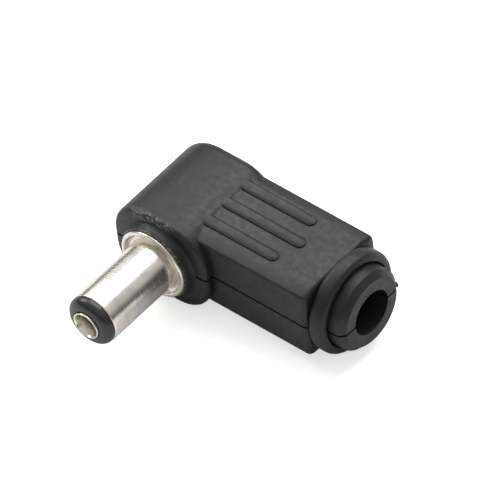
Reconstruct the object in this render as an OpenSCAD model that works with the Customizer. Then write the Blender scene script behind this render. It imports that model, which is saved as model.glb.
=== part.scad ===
// Right-angle DC barrel plug, 5.5 mm outside and 2.1 mm inside, with a two-part shell.
//
// The barrel points along -Y and the arm runs along +X to the cable hole. The origin lies on
// the barrel's axis, in the plane of the flange's front face, where a jack's face comes to rest.
// The two shell halves meet in the plane z = 0, which holds the barrel's axis and the neck's axis.

/* [Barrel] */
// Outside diameter of the barrel
barrel_d = 5.5; // [5.3:0.05:5.7]
// Length of the metal barrel in front of the flange
barrel_len = 8.5; // [6:0.1:12]
// Diameter of the hole through the barrel
barrel_bore_d = 4.7; // [4.5:0.05:4.8]
// Diameter of the flange that covers the hole in the head
flange_d = 7.7; // [7.2:0.1:8.4]
// Thickness of the flange
flange_t = 1.25; // [1:0.05:1.8]
// Width of the turned groove in the flange's front face
flange_groove_w = 0.38; // [0.2:0.01:0.45]
// Depth of the turned groove in the flange's front face
flange_groove_deep = 0.3; // [0.1:0.05:0.5]
// Width of the flat land between the groove and the flange's edge
flange_land = 0.42; // [0.3:0.02:0.6]
// Diameter of the shank that passes through the head's front wall
shank_d = 5.8; // [5.6:0.05:6]
// Diameter of the collar behind the head's front wall
collar_d = 7.4; // [7:0.1:7.6]
// Thickness of the collar behind the head's front wall
collar_t = 0.8; // [0.6:0.05:1.2]
// Diameter of the spigot that the sleeve tag is staked on
spigot_d = 5.3; // [5.2:0.05:5.4]
// Length that the spigot stands out behind the tag
stake_len = 0.2; // [0.1:0.05:0.4]

/* [Centre contact] */
// Diameter of the hole for the jack's centre pin
contact_bore_d = 2.1; // [1.9:0.05:2.5]
// Wall of the contact tube
contact_wall = 0.3; // [0.2:0.05:0.35]
// Depth of the hole for the jack's centre pin
contact_deep = 9; // [6:0.1:10]
// Diameter of the rolled lip at the contact's mouth
lip_d = 3.2; // [3.1:0.05:3.3]
// Thickness of the rolled lip
lip_t = 0.25; // [0.15:0.05:0.4]
// Height of the countersink inside the lip
countersink_h = 0.22; // [0.1:0.02:0.3]
// Diameter of the contact's tail where it passes through its tag
tail_d = 1.6; // [1.2:0.1:1.8]
// Diameter of the rivet head on the tail
rivet_d = 2.2; // [2:0.1:2.6]
// Height of the rivet head on the tail
rivet_h = 0.4; // [0.2:0.05:0.6]

/* [Insulators] */
// Length of the insulator that stands out in front of the metal barrel
tip_len = 1.05; // [0.8:0.05:1.4]
// Distance from the insulator's front face to the contact's front
tip_step = 0.2; // [0.1:0.02:0.3]
// Diameter of the insulator's shoulder at the barrel's mouth
tip_d = 5.1; // [4.9:0.05:5.15]
// Radius of the rounded edge on the insulator's nose
tip_r = 0.7; // [0.3:0.05:0.75]
// Thickness of the washer between the two tags
washer_t = 1; // [0.8:0.05:1.5]
// Diameter of the washer between the two tags
washer_d = 6.6; // [6:0.1:7.2]

/* [Head] */
// Width of the head, across the barrel and along the arm
head_w = 11.5; // [11:0.1:12.5]
// Height of the head above the parting plane
head_top = 5; // [4.95:0.05:5.4]
// Depth of the head below the parting plane
head_bottom = 5.25; // [5:0.05:5.5]
// Length of the head along the barrel's axis
head_depth = 11.6; // [11.5:0.1:13]
// Radius of the head's long round edges
head_corner = 4.2; // [3:0.1:4.8]
// Radius of the edge round the head's front face
head_front_r = 0.45; // [0.2:0.05:0.8]
// Radius of the edge round the head's back face
head_back_r = 1.3; // [0.8:0.05:1.6]

/* [Arm] */
// Distance from the barrel's axis to the arm's end face
arm_reach = 17.45; // [16.5:0.05:22]
// Distance that the arm's front face lies behind the head's front face
arm_setback = 0.95; // [0.6:0.05:1.2]
// Width of the arm from its front face to its back face
arm_depth = 10.5; // [10.3:0.1:10.6]
// Height of the arm's top above the parting plane
arm_top = 4.4; // [4.35:0.05:4.6]
// Depth of the arm's underside below the parting plane
arm_bottom = 4.15; // [4.1:0.05:4.4]
// Height that the arm's top falls away at its long edges
arm_crown = 0.3; // [0:0.05:0.4]
// Width of the fall beside each long edge
arm_crown_w = 1.7; // [1:0.1:2]
// Radius of the crease between the arm's top and its front
arm_crease_r = 0.25; // [0.1:0.05:0.5]
// Radius of the arm's other long edges
arm_edge_r = 0.8; // [0.4:0.05:1]
// Radius of the edge round the arm's end face
arm_end_r = 0.5; // [0.2:0.05:0.8]

/* [Neck and ring] */
// Outside diameter of the neck
neck_d = 8.6; // [8.2:0.1:8.8]
// Length of the neck beyond the arm's end face
neck_len = 3.6; // [3:0.1:6]
// Diameter of the cable hole
cable_hole_d = 4.8; // [4:0.1:5.4]
// Chamfer round the neck's free end
neck_chamfer = 0.6; // [0.2:0.05:0.9]
// Outside diameter of the retaining ring
ring_d = 10.8; // [10.2:0.1:11.4]
// Thickness of the retaining ring along the neck
ring_t = 1.85; // [1.4:0.05:2.6]
// Radius of the ring's rounded outer edges
ring_r = 0.62; // [0.3:0.02:0.68]
// Chamfer at both mouths of the ring's hole
ring_chamfer = 0.22; // [0.1:0.02:0.35]

/* [Grip ribs] */
// Number of raised ribs on the arm's top
rib_count = 3; // [1:2:3]
// Width of a rib
rib_w = 1.4; // [1:0.1:1.6]
// Distance between the ribs' centre lines
rib_pitch = 2.8; // [2.4:0.1:3]
// Height of a rib above the arm's top
rib_h = 0.3; // [0.15:0.05:0.4]
// Distance from the barrel's axis to the middle rib's end
rib_reach = 13.3; // [10:0.1:14.5]
// Distance that the outer ribs stop short of the middle one
rib_stagger = 1; // [0:0.1:2]

/* [Shell walls] */
// Thickness of the arm's side walls
wall = 1.2; // [1:0.05:1.4]
// Thickness of the head's front wall
front_wall = 1.6; // [1.2:0.05:2]
// Thickness of the roof over the wiring chamber and of the floor under it
skin = 0.95; // [0.8:0.05:1.1]
// Thickness of the arm's end wall
end_wall = 2.4; // [2.2:0.05:3]
// Thickness of the head's wall round the terminal chamber
head_wall = 1.15; // [1.1:0.05:1.2]
// Thickness of the solid back of the head
head_back_wall = 3.1; // [2.8:0.1:3.6]
// Height of the open parting groove between the two halves
parting_h = 0.24; // [0.1:0.02:0.4]
// Depth of the open parting groove between the two halves
parting_deep = 0.4; // [0.2:0.05:0.6]
// Diameter of a locating peg
peg_d = 1.4; // [1:0.1:1.6]
// Height of a locating peg above the parting plane
peg_h = 1.2; // [0.8:0.1:1.6]
// Distance from the head's left side to its locating peg
head_peg_inset = 2.1; // [1.8:0.1:2.4]

/* [Tags] */
// Thickness of the stamped tags
tag_t = 0.4; // [0.3:0.05:0.5]
// Width of the sleeve tag's tail
sleeve_tail_w = 3; // [2.4:0.1:3.6]
// Distance from the barrel's axis to the centre of the sleeve tag's solder hole
sleeve_hole_x = 7.6; // [6:0.1:8.2]
// Width of the centre tag's tail
centre_tail_w = 2; // [1.8:0.1:2.6]
// Distance from the barrel's axis to the end of the centre tag
centre_reach = 7.4; // [6.4:0.1:8.6]
// Diameter of the solder holes in both tags
solder_hole_d = 1; // [0.8:0.1:1.2]
// Length of the cord grip along the cable
grip_len = 2.6; // [2:0.1:3]
// Height that the cord grip's ears rise past the cable's axis
ear_rise = 1.2; // [0.8:0.1:2]

/* [Fits] */
// Clearance between the ring's hole and the neck, on the radius
ring_clearance = 0.05; // [0.02:0.01:0.1]
// Gap between faces that come to rest on each other
seat_gap = 0.03; // [0.02:0.01:0.05]
// Clearance between nested round pieces, on the radius
nest_gap = 0.02; // [0.01:0.01:0.03]
// Clearance between a locating peg and its socket, on the radius
peg_gap = 0.05; // [0.03:0.01:0.1]

/* [Hidden] */

black = [0.16, 0.16, 0.17];
black_gloss = [0.07, 0.07, 0.08];
nickel = [0.78, 0.76, 0.72];
cream = [0.82, 0.8, 0.72];

round_fn = 96;
arc_steps = 10;
sliver = 0.01;
far = 60;

// Places along the barrel's axis, counted backwards from the flange's front face
head_y = flange_t + seat_gap;
collar_y = head_y + front_wall + seat_gap;
sleeve_tag_y = collar_y + collar_t + seat_gap;
sleeve_back_y = sleeve_tag_y + tag_t + stake_len;
washer_y = sleeve_back_y + seat_gap;
centre_tag_y = washer_y + washer_t + seat_gap;
contact_back_y = centre_tag_y + tag_t + seat_gap;

// Places in front of the flange's front face
tip_front = barrel_len + tip_len;
contact_front = tip_front + tip_step;

contact_d = contact_bore_d + 2 * contact_wall;
arm_y = head_y + arm_setback;
neck_y = arm_y + arm_depth / 2;
ring_x = arm_reach + seat_gap;
neck_root_x = arm_reach - 0.1;
neck_end_x = arm_reach + neck_len;
chamber_end_x = arm_reach - end_wall;
grip_x = chamber_end_x - 1 - grip_len;
grip_half = cable_hole_d / 2;
grip_y = neck_y - grip_half - tag_t;
shank_hole_d = shank_d + 2 * nest_gap;
head_chamber_r = head_top - head_wall;
head_chamber_end_y = head_y + head_depth - head_back_wall;
end_peg_x = arm_reach - end_wall / 2;
end_peg_y = (arm_depth / 2 + neck_d / 4 + cable_hole_d / 8) / 2 + 0.4;
head_peg_x = -head_w / 2 + head_peg_inset;
head_peg_y = head_y + head_depth - head_back_wall / 2 - 0.3;

// Points on a circular arc from angle a0 to angle a1
function arc(cx, cy, r, a0, a1, steps = arc_steps) =
    [for (i = [0:steps]) let (a = a0 + (a1 - a0) * i / steps) [cx + r * cos(a), cy + r * sin(a)]];

// Steps of a rounded edge, each as its distance from the face and its inset from the side
function edge_steps(r, steps) =
    [for (i = [0:steps]) let (a = 90 * i / steps) [r * (1 - sin(a)), r * (1 - cos(a))]];

// Turns a profile drawn as radius and distance forward into a solid about the barrel's axis
module about_barrel() {
    rotate([90, 0, 0]) children();
}

// Turns a profile drawn as radius and distance along +X into a solid about the neck's axis
module about_neck() {
    translate([0, neck_y, 0]) rotate([0, 90, 0]) children();
}

// A cylinder on the barrel's axis between two places along Y
module barrel_cylinder(r, y0, y1) {
    translate([0, y1, 0]) rotate([90, 0, 0]) cylinder(r = r, h = y1 - y0, $fn = round_fn);
}

// A solid skinned over rings of points, which run anticlockwise as seen from the first ring
module loft(rings) {
    n = len(rings[0]);
    last = (len(rings) - 1) * n;
    sides = [for (i = [0:n:last - n], j = [0:n - 1], half = [0, 1])
                 let (a = i + j, b = i + (j + 1) % n)
                 half == 0 ? [a, b, b + n] : [a, b + n, a + n]];
    polyhedron([for (ring = rings) for (p = ring) p],
               concat([[for (j = [n - 1:-1:0]) j]], sides, [[for (j = [0:n - 1]) last + j]]));
}

// Cross-section of the head at one place along Y
function head_ring(y, inset) =
    let (r = head_corner - inset, side = head_w / 2 - head_corner,
         top = head_top - head_corner, bottom = head_bottom - head_corner)
    [for (p = concat(arc(side, top, r, 0, 90), arc(-side, top, r, 90, 180),
                     arc(-side, -bottom, r, 180, 270), arc(side, -bottom, r, 270, 360)))
        [p[0], y, p[1]]];

// The head is a round-cornered block with a crisp front edge and a soft back edge
module head_form() {
    front = edge_steps(head_front_r, 4);
    back = edge_steps(head_back_r, 6);
    loft(concat([for (i = [4:-1:0]) head_ring(head_y + front[i][0], front[i][1])],
                [for (i = [0:6]) head_ring(head_y + head_depth - back[i][0], back[i][1])]));
}

// Cross-section of the arm at one place along X, with a crowned top and a crisp front crease
function arm_ring(x, inset) =
    let (front = arm_y, back = arm_y + arm_depth, shoulder = arm_top - arm_crown,
         c = arm_crease_r, e = arm_edge_r)
    [for (p = concat(arc(front + c, shoulder - c, c, 180, 100, 3),
                     [[front + arm_crown_w, arm_top], [back - arm_crown_w, arm_top]],
                     arc(back - e, shoulder - e, e, 80, 0, 6),
                     arc(back - e, -arm_bottom + e, e, 0, -90, 6),
                     arc(front + e, -arm_bottom + e, e, -90, -180, 6)))
        [x, p[0] + (neck_y - p[0]) * inset / (arm_depth / 2), p[1] * (1 - inset / arm_top)]];

module arm_form() {
    end = edge_steps(arm_end_r, 4);
    loft(concat([arm_ring(0, 0)], [for (i = [0:4]) arm_ring(arm_reach - end[i][0], end[i][1])]));
}

module neck_form() {
    r = neck_d / 2;
    about_neck() rotate_extrude($fn = round_fn)
        polygon([[0, neck_root_x], [r, neck_root_x], [r, neck_end_x - neck_chamfer],
                 [r - neck_chamfer, neck_end_x], [0, neck_end_x]]);
}

module shell_form() {
    head_form();
    arm_form();
    neck_form();
}

// The mating rim, set in from the outside so that a groove stays open round the joint
module rim_form(z0, z1) {
    d = parting_deep;
    translate([-head_w / 2 + d, head_y + d, z0]) cube([head_w - 2 * d, head_depth - 2 * d, z1 - z0]);
    translate([0, arm_y + d, z0]) cube([arm_reach - d, arm_depth - 2 * d, z1 - z0]);
    translate([chamber_end_x, neck_y - neck_d / 2 + d, z0])
        cube([neck_end_x - neck_chamfer - d - chamber_end_x, neck_d - 2 * d, z1 - z0]);
}

// Everything that is hollow: the hole for the shank, the terminal and wiring chambers, the cable hole
module shell_hollow() {
    barrel_cylinder(shank_hole_d / 2, head_y - 1, head_y + front_wall + 1);
    barrel_cylinder(head_chamber_r, head_y + front_wall, head_chamber_end_y);
    translate([0, arm_y + wall, -arm_bottom + skin])
        cube([chamber_end_x, arm_depth - 2 * wall, arm_top + arm_bottom - 2 * skin]);
    about_neck() translate([0, 0, chamber_end_x - 1])
        cylinder(d = cable_hole_d, h = end_wall + neck_len + 2, $fn = round_fn);
}

module at_pegs() {
    translate([head_peg_x, head_peg_y, 0]) children();
    for (side = [-1, 1]) translate([end_peg_x, neck_y + side * end_peg_y, 0]) children();
}

// One grip rib with a rounded end, standing on the arm's top
module grip_rib(y, reach) {
    r = rib_w / 2;
    hull() {
        for (step = [[arm_top - 0.3, 0], [arm_top + rib_h * 0.4, 0.06], [arm_top + rib_h, 0.35]]) {
            translate([1, y - r + step[1], step[0] - sliver]) cube([2, rib_w - 2 * step[1], sliver]);
            translate([reach - r, y, step[0] - sliver])
                cylinder(r = r - step[1], h = sliver, $fn = 32);
        }
    }
}

module grip_ribs() {
    middle = (rib_count - 1) / 2;
    for (i = [0:rib_count - 1])
        grip_rib(neck_y + (i - middle) * rib_pitch, rib_reach - rib_stagger * abs(i - middle));
}

module upper_shell() {
    color(black) difference() {
        union() {
            intersection() {
                shell_form();
                translate([-far / 2, -far / 2, parting_h / 2]) cube(far);
            }
            grip_ribs();
            rim_form(0, parting_h / 2 + sliver);
        }
        shell_hollow();
        at_pegs() translate([0, 0, -1])
            cylinder(d = peg_d + 2 * peg_gap, h = peg_h + 2 * peg_gap + 1, $fn = 32);
    }
}

module lower_shell() {
    color(black) union() {
        difference() {
            union() {
                intersection() {
                    shell_form();
                    translate([-far / 2, -far / 2, -far - parting_h / 2]) cube(far);
                }
                rim_form(-parting_h / 2 - sliver, 0);
            }
            shell_hollow();
        }
        at_pegs() translate([0, 0, -0.5]) cylinder(d = peg_d, h = peg_h + 0.5, $fn = 32);
    }
}

module retaining_ring() {
    inner = neck_d / 2 + ring_clearance;
    outer = ring_d / 2;
    c = ring_chamfer;
    color(black) about_neck() translate([0, 0, ring_x]) rotate_extrude($fn = round_fn)
        polygon(concat([[inner + c, 0]],
                       arc(outer - ring_r, ring_r, ring_r, -90, 0, 6),
                       arc(outer - ring_r, ring_t - ring_r, ring_r, 0, 90, 6),
                       [[inner + c, ring_t], [inner, ring_t - c], [inner, c]]));
}

module barrel_sleeve() {
    bore = barrel_bore_d / 2;
    barrel = barrel_d / 2;
    flange = flange_d / 2;
    groove_out = flange - flange_land;
    groove_in = groove_out - flange_groove_w;
    color(nickel) about_barrel() rotate_extrude($fn = round_fn)
        polygon(concat([[bore, barrel_len]],
                       arc(barrel - 0.12, barrel_len - 0.12, 0.12, 90, 0, 3),
                       [[barrel, 0], [groove_in, 0], [groove_in, -flange_groove_deep],
                        [groove_out, -flange_groove_deep], [groove_out, 0]],
                       arc(flange - 0.2, -0.2, 0.2, 90, 0, 4),
                       [[flange, -flange_t], [shank_d / 2, -flange_t], [shank_d / 2, -collar_y],
                        [collar_d / 2, -collar_y], [collar_d / 2, -collar_y - collar_t],
                        [spigot_d / 2, -collar_y - collar_t], [spigot_d / 2, -sleeve_back_y],
                        [bore, -sleeve_back_y]]));
}

module tip_insulator() {
    inner = contact_d / 2 + nest_gap;
    shoulder = tip_d / 2;
    bush = barrel_bore_d / 2 - nest_gap;
    foot = barrel_len + seat_gap;
    color(black_gloss) about_barrel() rotate_extrude($fn = round_fn)
        polygon(concat([[bush, foot], [shoulder, foot]],
                       arc(shoulder - tip_r, tip_front - tip_r, tip_r, 0, 90, 7),
                       [[inner, tip_front], [inner, -sleeve_back_y], [bush, -sleeve_back_y]]));
}

module centre_contact() {
    bore = contact_bore_d / 2;
    tube = contact_d / 2;
    lip = lip_d / 2;
    tail = tail_d / 2;
    mouth = bore + 0.22;
    color(nickel) about_barrel() rotate_extrude($fn = round_fn)
        polygon([[bore, contact_front - countersink_h], [mouth, contact_front],
                 [lip - 0.1, contact_front], [lip, contact_front - 0.1], [lip, contact_front - tip_step + seat_gap],
                 [tube, contact_front - tip_step + seat_gap], [tube, -centre_tag_y + seat_gap],
                 [tail, -centre_tag_y + seat_gap], [tail, -contact_back_y], [rivet_d / 2, -contact_back_y],
                 [rivet_d / 2 - 0.15, -contact_back_y - rivet_h], [0, -contact_back_y - rivet_h],
                 [0, contact_front - contact_deep], [bore, contact_front - contact_deep]]);
}

module washer_insulator() {
    color(cream) difference() {
        barrel_cylinder(washer_d / 2, washer_y, washer_y + washer_t);
        barrel_cylinder(contact_d / 2 + nest_gap, washer_y - 1, washer_y + washer_t + 1);
    }
}

// Stamped eyelet on the barrel's axis
module eyelet(y, outer_d, hole_d) {
    difference() {
        barrel_cylinder(outer_d / 2, y, y + tag_t);
        barrel_cylinder(hole_d / 2, y - 1, y + tag_t + 1);
    }
}

module solder_hole(x, y) {
    translate([x, y + tag_t + 1, 0]) rotate([90, 0, 0])
        cylinder(d = solder_hole_d, h = tag_t + 2, $fn = 32);
}

// Tag staked behind the collar, with a joggled tail that ends in a folded cord grip
module sleeve_tag() {
    y = sleeve_tag_y;
    start = washer_d / 2 - 0.4;
    jog = grip_x - 1.6;
    inner = grip_half;
    outer = grip_half + tag_t;
    ear = neck_y + ear_rise;
    color(nickel) union() {
        eyelet(y, washer_d, spigot_d + 2 * nest_gap);
        difference() {
            translate([0, 0, -sleeve_tail_w / 2]) linear_extrude(sleeve_tail_w)
                polygon([[start, y], [jog, y], [grip_x - 0.4, grip_y], [grip_x + 0.2, grip_y],
                         [grip_x + 0.2, grip_y + tag_t], [grip_x - 0.5, grip_y + tag_t],
                         [jog - 0.1, y + tag_t], [start, y + tag_t]]);
            solder_hole(sleeve_hole_x, y);
        }
        translate([grip_x, 0, 0]) rotate([90, 0, 90]) linear_extrude(grip_len)
            polygon([[grip_y, -outer], [ear, -outer], [ear, -inner], [grip_y + tag_t, -inner],
                     [grip_y + tag_t, inner], [ear, inner], [ear, outer], [grip_y, outer]]);
    }
}

// Tag riveted on the contact's tail, behind the washer
module centre_tag() {
    y = centre_tag_y;
    eye_d = rivet_d + 1.8;
    color(nickel) difference() {
        union() {
            eyelet(y, eye_d, tail_d + 2 * nest_gap);
            translate([tail_d / 2 + 0.3, y, -centre_tail_w / 2])
                cube([centre_reach - centre_tail_w / 2 - tail_d / 2 - 0.3, tag_t, centre_tail_w]);
            translate([centre_reach - centre_tail_w / 2, 0, 0])
                barrel_cylinder(centre_tail_w / 2, y, y + tag_t);
        }
        solder_hole(centre_reach - centre_tail_w / 2, y);
    }
}

upper_shell();
lower_shell();
retaining_ring();
barrel_sleeve();
tip_insulator();
centre_contact();
washer_insulator();
sleeve_tag();
centre_tag();
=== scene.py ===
"""Looks of the right-angle DC barrel plug: materials, mould marks, studio and camera."""
import math

import bmesh
import bpy
from mathutils import Matrix, Vector


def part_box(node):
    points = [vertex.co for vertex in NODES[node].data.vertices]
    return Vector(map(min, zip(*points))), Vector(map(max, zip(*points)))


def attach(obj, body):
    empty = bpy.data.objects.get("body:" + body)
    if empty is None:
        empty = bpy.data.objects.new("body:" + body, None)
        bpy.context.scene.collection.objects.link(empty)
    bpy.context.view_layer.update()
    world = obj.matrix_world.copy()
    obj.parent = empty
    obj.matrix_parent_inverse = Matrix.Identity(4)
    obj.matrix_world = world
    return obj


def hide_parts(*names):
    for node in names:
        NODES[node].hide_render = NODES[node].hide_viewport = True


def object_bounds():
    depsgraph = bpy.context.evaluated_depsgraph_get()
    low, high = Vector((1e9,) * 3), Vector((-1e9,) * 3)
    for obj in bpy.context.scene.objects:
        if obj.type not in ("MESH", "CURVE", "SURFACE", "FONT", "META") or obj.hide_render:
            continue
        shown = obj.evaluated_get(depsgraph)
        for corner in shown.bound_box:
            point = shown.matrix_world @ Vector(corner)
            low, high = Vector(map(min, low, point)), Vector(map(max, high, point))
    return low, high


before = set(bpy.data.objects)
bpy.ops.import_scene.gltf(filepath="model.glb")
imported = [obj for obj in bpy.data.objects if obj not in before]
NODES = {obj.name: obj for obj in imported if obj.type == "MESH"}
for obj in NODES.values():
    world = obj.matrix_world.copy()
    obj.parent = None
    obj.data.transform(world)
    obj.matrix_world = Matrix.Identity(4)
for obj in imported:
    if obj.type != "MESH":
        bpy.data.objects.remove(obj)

CAD_BOX = [list(corner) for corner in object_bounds()]
MM = 0.001

# Camera: angles of the photograph's view, and the point at the middle of the picture
VIEW_AZIMUTH = 45.07
VIEW_ELEVATION = 46.45
VIEW_ROLL = 7.0
VIEW_AIM = Vector((6.23, 7.14, -0.24)) * MM
VIEW_DISTANCE = 1.0
PIXELS_PER_METRE = 10502
SENSOR_MM = 36.0
PICTURE_PX = 500

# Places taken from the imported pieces
UPPER_LOW, UPPER_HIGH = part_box("upper_shell")
RING_LOW, RING_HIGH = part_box("retaining_ring")
SLEEVE_LOW, SLEEVE_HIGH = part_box("barrel_sleeve")
BUSH_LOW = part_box("tip_insulator")[0]
CONTACT_LOW, CONTACT_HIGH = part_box("centre_contact")
NECK_Y = (RING_LOW.y + RING_HIGH.y) / 2
HEAD_FRONT_Y = UPPER_LOW.y

# Distances in mm in front of the flange's front face, and the flange's radius
MOUTH = -SLEEVE_LOW.y / MM
SLEEVE_BACK = -SLEEVE_HIGH.y / MM
NOSE = -BUSH_LOW.y / MM
CONTACT_FRONT = -CONTACT_LOW.y / MM
CONTACT_BACK = -CONTACT_HIGH.y / MM
RIM_R = SLEEVE_HIGH.x / MM

# Radii and places in mm of the turned pieces and the neck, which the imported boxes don't give
SLEEVE_BORE_R = 2.35
BARREL_R = 2.75
SHANK_R = 2.9
COLLAR_R = 3.7
SPIGOT_R = 2.65
FLANGE_BACK = -1.25
COLLAR_FRONT = -2.91
COLLAR_BACK = -3.71
CONTACT_HOLE_R = 1.37
BUSH_R = 2.33
SHOULDER_R = 2.68
SEAT_GAP = 0.03
TUBE_R = 1.35
LIP_R = 1.5
TAIL_R = 0.8
RIVET_R = 1.1
RIVET_H = 0.4
TAIL_LEN = 0.43
PIN_HOLE_R = 1.05
PIN_HOLE_DEEP = 9
NECK_R = 4.3

# Finish of the pieces
SHELL_BLACK = (0.0125, 0.0125, 0.0135)
RING_BLACK = (0.010, 0.010, 0.011)
# Light grey of the scuffs and of the painted highlight along the head's top front edge
SCUFF_AND_HIGHLIGHT_GREY = (0.2, 0.2, 0.2)
PLATE_SMEAR = (0.5, 0.42, 0.3)
WELD_DISTANCE = 0.0004 * MM
CAD_CREASE_DEG = 32
TURNED_CREASE_DEG = 40
TURNED_SIDES = 160


# ---------------------------------------------------------------- node helpers

def new_material(name):
    """A fresh node material, its tree, and its Principled shader."""
    material = bpy.data.materials.new(name)
    material.use_nodes = True
    tree = material.node_tree
    return material, tree, tree.nodes["Principled BSDF"]


def add_node(tree, kind, **settings):
    """A node of this kind, with attributes and input defaults set by name."""
    made = tree.nodes.new(kind)
    for key, value in settings.items():
        if hasattr(made, key):
            setattr(made, key, value)
        else:
            made.inputs[key.replace("_", " ")].default_value = value
    return made


def position_mm(tree):
    """The surface point in millimetres, in the part's own frame."""
    place = add_node(tree, "ShaderNodeTexCoord")
    scaled = add_node(tree, "ShaderNodeVectorMath", operation="SCALE")
    scaled.inputs["Scale"].default_value = 1 / MM
    tree.links.new(place.outputs["Object"], scaled.inputs[0])
    return scaled.outputs[0]


def noise(tree, point, scale, detail=2.0, roughness=0.5):
    """Noise of this many features a millimetre."""
    made = add_node(tree, "ShaderNodeTexNoise", Scale=scale, Detail=detail, Roughness=roughness)
    tree.links.new(point, made.inputs["Vector"])
    return made.outputs["Fac"]


def remap(tree, value, low, high, to_low=0.0, to_high=1.0):
    """The value carried from one range to another, clamped and smooth."""
    made = add_node(tree, "ShaderNodeMapRange", interpolation_type="SMOOTHSTEP")
    for socket, number in zip(("From Min", "From Max", "To Min", "To Max"), (low, high, to_low, to_high)):
        made.inputs[socket].default_value = number
    tree.links.new(value, made.inputs["Value"])
    return made.outputs["Result"]


def math_node(tree, operation, a, b):
    """One arithmetic step between two sockets or numbers."""
    made = add_node(tree, "ShaderNodeMath", operation=operation)
    for socket, value in zip(made.inputs, (a, b)):
        if isinstance(value, (int, float)):
            socket.default_value = value
        else:
            tree.links.new(value, socket)
    return made.outputs[0]


def mix_colours(tree, factor, a, b):
    """Colour a where factor is 0, colour b where it is 1."""
    made = add_node(tree, "ShaderNodeMix", data_type="RGBA")
    tree.links.new(factor, made.inputs["Factor"])
    colours = [socket for socket in made.inputs if socket.type == "RGBA"]
    for socket, value in zip(colours, (a, b)):
        if isinstance(value, tuple):
            socket.default_value = (*value, 1)
        else:
            tree.links.new(value, socket)
    return [socket for socket in made.outputs if socket.type == "RGBA"][0]


def bump(tree, shader, height, distance_mm, strength=1.0, under=None):
    """Relief from a height socket, on top of an earlier relief if one is given."""
    made = add_node(tree, "ShaderNodeBump", Strength=strength, Distance=distance_mm * MM)
    tree.links.new(height, made.inputs["Height"])
    if under:
        tree.links.new(under, made.inputs["Normal"])
    tree.links.new(made.outputs["Normal"], shader.inputs["Normal"])
    return made.outputs["Normal"]


def axis_parts(tree, point):
    """The X, Y and Z of a point."""
    made = add_node(tree, "ShaderNodeSeparateXYZ")
    tree.links.new(point, made.inputs[0])
    return made.outputs


# ---------------------------------------------------------------- materials

def moulded_plastic(name, colour, roughness, grain, scuffed_and_highlit, smear=0.0):
    """Black moulded plastic with fine grain, uneven sheen, and pale scuffs with a painted highlight, or a
    smear of plate.
    """
    material, tree, shader = new_material(name)
    point = position_mm(tree)
    cloud = noise(tree, point, 0.35, 4.0, 0.6)
    pebble = noise(tree, point, 5.5, 3.0, 0.55)
    specks = noise(tree, point, 14.0, 1.0)
    dark = tuple(c * 0.82 for c in colour)
    light = tuple(c * 1.25 for c in colour)
    tone = mix_colours(tree, remap(tree, cloud, 0.3, 0.7), dark, light)
    dusty = math_node(tree, "MULTIPLY", remap(tree, specks, 0.66, 0.8), 0.25)
    tone = mix_colours(tree, dusty, tone, tuple(c * 3.2 for c in colour))
    gloss = remap(tree, noise(tree, point, 1.6, 3.0), 0.3, 0.7, roughness - 0.06, roughness + 0.08)
    if scuffed_and_highlit:
        scuff_and_highlight = scuff_and_highlight_mask(tree, point)
        # Pale scuffs and a painted highlight: the head's top front edge is mixed towards light grey
        tone = mix_colours(tree, scuff_and_highlight, tone, SCUFF_AND_HIGHLIGHT_GREY)
        gloss = math_node(tree, "ADD", gloss, math_node(tree, "MULTIPLY", scuff_and_highlight, 0.2))
    if smear:
        rubbed = remap(tree, noise(tree, point, 4.5, 4.0, 0.75), 0.54, 0.6)
        edge = remap(tree, axis_parts(tree, point)[1], 0.26, 0.5, smear, 0.0)
        tone = mix_colours(tree, math_node(tree, "MULTIPLY", rubbed, edge), tone, PLATE_SMEAR)
    tree.links.new(tone, shader.inputs["Base Color"])
    tree.links.new(gloss, shader.inputs["Roughness"])
    soft = bump(tree, shader, cloud, 0.12, 0.5)
    bump(tree, shader, pebble, grain, 1.0, soft)
    shader.inputs["Specular IOR Level"].default_value = 0.38
    return material


def scuff_and_highlight_mask(tree, point):
    """Pale rubbed marks and a painted highlight along the top of the head's front edge."""
    x, y, z = axis_parts(tree, point)[:3]
    edge_y = HEAD_FRONT_Y / MM
    near_edge = remap(tree, y, edge_y + 0.1, edge_y + 0.75, 1.0, 0.0)
    high = remap(tree, z, 3.6, 4.5)
    left = remap(tree, x, -4.2, -2.6)
    right = remap(tree, x, 0.2, 2.8, 1.0, 0.0)
    place = math_node(tree, "MULTIPLY", math_node(tree, "MULTIPLY", near_edge, high),
                      math_node(tree, "MULTIPLY", left, right))
    grit = remap(tree, noise(tree, point, 3.2, 4.0, 0.7), 0.45, 0.62)
    return math_node(tree, "MULTIPLY", place, grit)


def turned_nickel(name, roughness):
    """Bright nickel plate over turned brass, with fine rings round the barrel and faint stains."""
    material, tree, shader = new_material(name)
    point = position_mm(tree)
    parts = axis_parts(tree, point)
    along = add_node(tree, "ShaderNodeCombineXYZ")
    tree.links.new(parts[1], along.inputs[1])
    rings = noise(tree, along.outputs[0], 9.0, 3.0, 0.6)
    stain = noise(tree, point, 0.8, 3.0, 0.6)
    tone = mix_colours(tree, remap(tree, stain, 0.35, 0.7), (0.80, 0.765, 0.70), (0.69, 0.645, 0.57))
    tree.links.new(tone, shader.inputs["Base Color"])
    sheen = remap(tree, rings, 0.3, 0.7, roughness - 0.04, roughness + 0.07)
    tree.links.new(sheen, shader.inputs["Roughness"])
    shader.inputs["Metallic"].default_value = 1.0
    bump(tree, shader, rings, 0.002, 0.4)
    return material


def glossy_insulator(name):
    """Glossy black moulded insulator with a faint flow texture."""
    material, tree, shader = new_material(name)
    point = position_mm(tree)
    flow = noise(tree, point, 1.4, 3.0)
    tone = mix_colours(tree, flow, (0.012, 0.012, 0.013), (0.026, 0.026, 0.028))
    tree.links.new(tone, shader.inputs["Base Color"])
    tree.links.new(remap(tree, flow, 0.3, 0.7, 0.26, 0.36), shader.inputs["Roughness"])
    bump(tree, shader, noise(tree, point, 4.0, 2.0), 0.01, 0.5)
    return material


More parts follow.
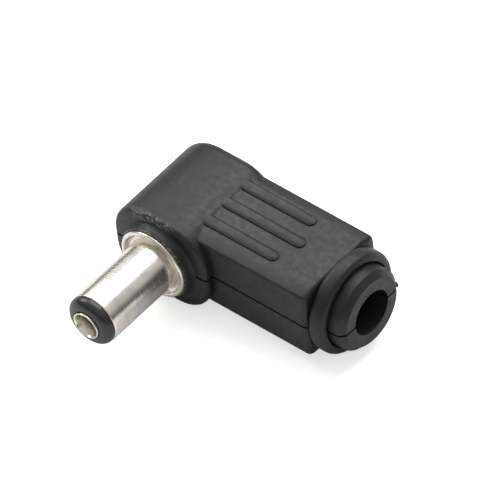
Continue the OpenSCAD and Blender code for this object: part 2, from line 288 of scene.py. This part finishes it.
def cream_washer(name):
    """Cream moulded washer."""
    material, tree, shader = new_material(name)
    cloud = noise(tree, position_mm(tree), 1.2, 3.0)
    tree.links.new(mix_colours(tree, cloud, (0.66, 0.62, 0.5), (0.74, 0.7, 0.6)), shader.inputs["Base Color"])
    shader.inputs["Roughness"].default_value = 0.4
    bump(tree, shader, cloud, 0.02, 0.5)
    return material


def stamped_tag(name):
    """Plated stamped sheet with a faint grain along the strip."""
    material, tree, shader = new_material(name)
    point = position_mm(tree)
    stretched = add_node(tree, "ShaderNodeVectorMath", operation="MULTIPLY")
    stretched.inputs[1].default_value = (0.3, 4.0, 4.0)
    tree.links.new(point, stretched.inputs[0])
    grain = noise(tree, stretched.outputs[0], 3.0, 3.0)
    tone = mix_colours(tree, grain, (0.66, 0.64, 0.6), (0.76, 0.74, 0.69))
    tree.links.new(tone, shader.inputs["Base Color"])
    tree.links.new(remap(tree, grain, 0.3, 0.7, 0.22, 0.36), shader.inputs["Roughness"])
    shader.inputs["Metallic"].default_value = 1.0
    bump(tree, shader, grain, 0.004, 0.5)
    return material


def crisp_edges(piece, crease_deg):
    """Welds the faces together, and splits them again along edges sharper than this."""
    weld = piece.modifiers.new("weld", "WELD")
    weld.merge_threshold = WELD_DISTANCE
    split = piece.modifiers.new("crisp_edges", "EDGE_SPLIT")
    split.split_angle = math.radians(crease_deg)
    split.use_edge_sharp = False


def dress(node_name, material):
    """Gives a CAD node its finish, with smooth rounds and crisp edges."""
    piece = NODES[node_name]
    piece.data.materials.clear()
    piece.data.materials.append(material)
    for face in piece.data.polygons:
        face.use_smooth = True
    crisp_edges(piece, CAD_CREASE_DEG)


# ---------------------------------------------------------------- turned pieces

def mesh_piece(name, vertices, faces, material, body):
    """A small modelled piece that rides on a body."""
    mesh = bpy.data.meshes.new(name)
    mesh.from_pydata(vertices, [], faces)
    work = bmesh.new()
    work.from_mesh(mesh)
    bmesh.ops.recalc_face_normals(work, faces=work.faces)
    work.to_mesh(mesh)
    work.free()
    piece = bpy.data.objects.new(name, mesh)
    bpy.context.scene.collection.objects.link(piece)
    mesh.materials.append(material)
    for face in mesh.polygons:
        face.use_smooth = True
    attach(piece, body)
    return piece


def round_over(r0, f0, r1, f1, steps):
    """Quarter ellipse of (radius, forward) points from (r1, f1) on a front face to (r0, f0) on a side."""
    angles = [math.pi / 2 * i / steps for i in range(steps, -1, -1)]
    return [(r1 + (r0 - r1) * math.cos(t), f0 + (f1 - f0) * math.sin(t)) for t in angles]


def sleeve_profile():
    """Barrel, dished flange with its rolled rim, shank, collar and spigot."""
    dish = [(BARREL_R, 0.1), (2.77, -0.3), (2.86, -0.46), (3.04, -0.49), (3.22, -0.4), (3.36, -0.24),
            (3.42, -0.12), (3.46, -0.04), (3.54, 0)]
    rear = [(RIM_R, FLANGE_BACK), (SHANK_R, FLANGE_BACK), (SHANK_R, COLLAR_FRONT), (COLLAR_R, COLLAR_FRONT),
            (COLLAR_R, COLLAR_BACK), (SPIGOT_R, COLLAR_BACK), (SPIGOT_R, SLEEVE_BACK)]
    return ([(SLEEVE_BORE_R, SLEEVE_BACK), (SLEEVE_BORE_R, MOUTH)]
            + round_over(BARREL_R, MOUTH - 0.14, BARREL_R - 0.16, MOUTH, 5)
            + dish + round_over(RIM_R, -0.17, RIM_R - 0.19, 0, 6) + rear)


def bush_profile():
    """Black bush inside the barrel, with the domed nose that stands out in front of the metal."""
    foot = MOUTH + SEAT_GAP
    return ([(CONTACT_HOLE_R, SLEEVE_BACK), (CONTACT_HOLE_R, NOSE - 0.18), (1.54, NOSE - 0.1), (1.6, NOSE)]
            + round_over(SHOULDER_R, MOUTH + 0.24, 1.66, NOSE, 14)
            + [(SHOULDER_R, foot), (BUSH_R, foot), (BUSH_R, SLEEVE_BACK)])


def contact_profile():
    """Tube for the jack's pin, with a rolled lip and a funnel mouth."""
    front, back = CONTACT_FRONT, CONTACT_BACK
    tail = [(0, back), (RIVET_R - 0.15, back), (RIVET_R, back + RIVET_H), (TAIL_R, back + RIVET_H),
            (TAIL_R, back + RIVET_H + TAIL_LEN), (TUBE_R, back + RIVET_H + TAIL_LEN)]
    lip = [(TUBE_R, front - 0.28), (LIP_R, front - 0.2)]
    lip += round_over(LIP_R, front - 0.07, 1.44, front, 4)[::-1]
    funnel = [(1.38, front), (1.34, front - 0.06), (1.24, front - 0.4), (1.12, front - 0.95)]
    hole = [(PIN_HOLE_R, front - 1.6), (PIN_HOLE_R, front - PIN_HOLE_DEEP), (0, front - PIN_HOLE_DEEP)]
    return tail + lip + funnel + hole


def seat_profile():
    """Moulded lip that hugs the flange's edge and runs into the head's front face."""
    face = -HEAD_FRONT_Y / MM
    return ([(RIM_R + 0.01, face - 0.02), (RIM_R + 0.01, -0.22), (RIM_R + 0.1, -0.2), (RIM_R + 0.17, -0.3)]
            + [(RIM_R + 0.22, -0.8), (RIM_R + 0.34, face + 0.12), (RIM_R + 0.5, face - 0.02)])


def turned_piece(name, profile, material, node=None):
    """A piece turned about the barrel's axis, which may stand for a CAD node."""
    vertices, faces = [], []
    for i in range(TURNED_SIDES):
        angle = 2 * math.pi * i / TURNED_SIDES
        vertices += [(r * MM * math.cos(angle), -f * MM, r * MM * math.sin(angle)) for r, f in profile]
    count = len(profile)
    for i in range(TURNED_SIDES):
        a, b = i * count, (i + 1) % TURNED_SIDES * count
        faces += [(a + j, a + j + 1, b + j + 1, b + j) for j in range(count - 1)]
        if profile[0][0] > 0:
            faces.append((a + count - 1, a, b, b + count - 1))
    piece = mesh_piece(name, vertices, faces, material, "plug")
    crisp_edges(piece, TURNED_CREASE_DEG)
    if node:
        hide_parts(node)


# ---------------------------------------------------------------- mould marks

def mould_flash(name, spine, outward, reach, thickness, material, body):
    """A thin ragged fin of flash that stands out of the joint along a short spine."""
    vertices, faces = [], []
    last = len(spine) - 1
    for i, place in enumerate(spine):
        ragged = 0.35 + 0.65 * abs(math.sin(2.7 * i + 0.6))
        fade = math.sin(math.pi * (i + 0.4) / (last + 0.8))
        tip = place + outward * (reach * ragged * fade)
        root = place - outward * 0.2 * MM
        half = Vector((0, 0, thickness / 2))
        vertices += [root + half, tip, root - half]
    for i in range(last):
        a, b = 3 * i, 3 * i + 3
        faces += [(a, b, b + 1, a + 1), (a + 1, b + 1, b + 2, a + 2), (a + 2, b + 2, b, a)]
    faces += [(0, 1, 2), (3 * last + 2, 3 * last + 1, 3 * last)]
    return mesh_piece(name, vertices, faces, material, body)


# ---------------------------------------------------------------- studio

def add_floor(level):
    """A plain pale floor that reads white in the picture and keeps a soft shadow."""
    mesh = bpy.data.meshes.new("floor")
    half = 0.6
    mesh.from_pydata([(-half, -half, level), (half, -half, level), (half, half, level), (-half, half, level)],
                     [], [(0, 1, 2, 3)])
    floor = bpy.data.objects.new("floor", mesh)
    bpy.context.scene.collection.objects.link(floor)
    material, tree, shader = new_material("pale_floor")
    shader.inputs["Base Color"].default_value = (0.8, 0.8, 0.8, 1)
    shader.inputs["Roughness"].default_value = 0.9
    shader.inputs["Specular IOR Level"].default_value = 0.1
    path = add_node(tree, "ShaderNodeLightPath")
    shader.inputs["Emission Color"].default_value = (1, 1, 1, 1)
    glow = math_node(tree, "MULTIPLY", path.outputs["Is Camera Ray"], 0.62)
    tree.links.new(glow, shader.inputs["Emission Strength"])
    mesh.materials.append(material)


def add_world(level):
    """A pale surround, white where the camera sees it, bright above and dim at the horizon."""
    world = bpy.data.worlds.new("studio")
    bpy.context.scene.world = world
    world.use_nodes = True
    tree = world.node_tree
    background = tree.nodes["Background"]
    path = add_node(tree, "ShaderNodeLightPath")
    place = add_node(tree, "ShaderNodeTexCoord")
    height = axis_parts(tree, place.outputs["Generated"])[2]
    sky = remap(tree, height, 0.12, 0.55, level * 0.12, level)
    camera_or_sky = add_node(tree, "ShaderNodeMix", data_type="FLOAT")
    tree.links.new(path.outputs["Is Camera Ray"], camera_or_sky.inputs["Factor"])
    tree.links.new(sky, camera_or_sky.inputs[2])
    camera_or_sky.inputs[3].default_value = 1.0
    tree.links.new(camera_or_sky.outputs[0], background.inputs["Strength"])
    background.inputs["Color"].default_value = (1, 1, 1, 1)


def add_softbox(name, azimuth, elevation, distance, width, height, power):
    """A rectangular soft light aimed at the part."""
    a, e = math.radians(azimuth), math.radians(elevation)
    toward = Vector((math.sin(a) * math.cos(e), -math.cos(a) * math.cos(e), math.sin(e)))
    data = bpy.data.lights.new(name, "AREA")
    data.shape = "RECTANGLE"
    data.size = width
    data.size_y = height
    data.energy = power
    lamp = bpy.data.objects.new(name, data)
    bpy.context.scene.collection.objects.link(lamp)
    lamp.location = VIEW_AIM + toward * distance
    lamp.rotation_euler = toward.to_track_quat("Z", "Y").to_euler()


def add_camera():
    """A long lens at the photograph's viewing angle."""
    a, e, roll = (math.radians(v) for v in (VIEW_AZIMUTH, VIEW_ELEVATION, VIEW_ROLL))
    right = Vector((math.cos(a), math.sin(a), 0))
    up = Vector((-math.sin(a) * math.sin(e), math.cos(a) * math.sin(e), math.cos(e)))
    toward = right.cross(up)
    across = right * math.cos(roll) - up * math.sin(roll)
    upward = right * math.sin(roll) + up * math.cos(roll)
    data = bpy.data.cameras.new("camera")
    data.sensor_width = SENSOR_MM
    data.lens = SENSOR_MM * PIXELS_PER_METRE * VIEW_DISTANCE / PICTURE_PX
    data.clip_start = 0.05
    data.clip_end = 10
    camera = bpy.data.objects.new("camera", data)
    bpy.context.scene.collection.objects.link(camera)
    turned = Matrix((across, upward, toward)).transposed().to_4x4()
    camera.matrix_world = Matrix.Translation(VIEW_AIM + toward * VIEW_DISTANCE) @ turned
    bpy.context.scene.camera = camera


# ---------------------------------------------------------------- the part

shell_plastic = moulded_plastic("shell_plastic", SHELL_BLACK, 0.45, 0.012, True)
ring_plastic = moulded_plastic("ring_plastic", RING_BLACK, 0.46, 0.006, False)
seat_plastic = moulded_plastic("seat_plastic", SHELL_BLACK, 0.45, 0.02, False, 0.55)
nickel = turned_nickel("turned_nickel", 0.24)
black_bush = glossy_insulator("glossy_insulator")
tag_metal = stamped_tag("stamped_tag")

dress("upper_shell", shell_plastic)
dress("lower_shell", shell_plastic)
dress("retaining_ring", ring_plastic)
dress("barrel_sleeve", nickel)
dress("centre_contact", nickel)
dress("tip_insulator", black_bush)
turned_piece("turned_sleeve", sleeve_profile(), nickel, "barrel_sleeve")
turned_piece("rolled_contact", contact_profile(), nickel, "centre_contact")
turned_piece("domed_bush", bush_profile(), black_bush, "tip_insulator")
turned_piece("flange_seat", seat_profile(), seat_plastic)
dress("washer_insulator", cream_washer("cream_washer"))
dress("sleeve_tag", tag_metal)
dress("centre_tag", tag_metal)

head_left = UPPER_LOW.x + 0.05 * MM
head_spine = [Vector((head_left, HEAD_FRONT_Y + (0.5 + 0.35 * i) * MM, 0)) for i in range(6)]
head_flash = mould_flash("head_flash", head_spine, Vector((-1, 0, 0)), 0.42 * MM, 0.22 * MM,
                         shell_plastic, "plug")

neck_side = NECK_Y + NECK_R * MM
neck_spine = [Vector((UPPER_HIGH.x - (1.3 - 0.24 * i) * MM, neck_side - 0.1 * MM * max(0, i - 3), 0))
              for i in range(6)]
neck_flash = mould_flash("neck_flash", neck_spine, Vector((0, 1, 0)), 0.2 * MM, 0.1 * MM,
                         shell_plastic, "plug")

add_floor(CAD_BOX[0][2])
add_world(0.62)
add_softbox("top_back", 190, 60, 0.5, 0.45, 0.45, 2.4)
add_softbox("left", -92, 38, 0.5, 0.25, 0.25, 1.0)
add_camera()
bpy.context.scene.view_settings.view_transform = "Standard"
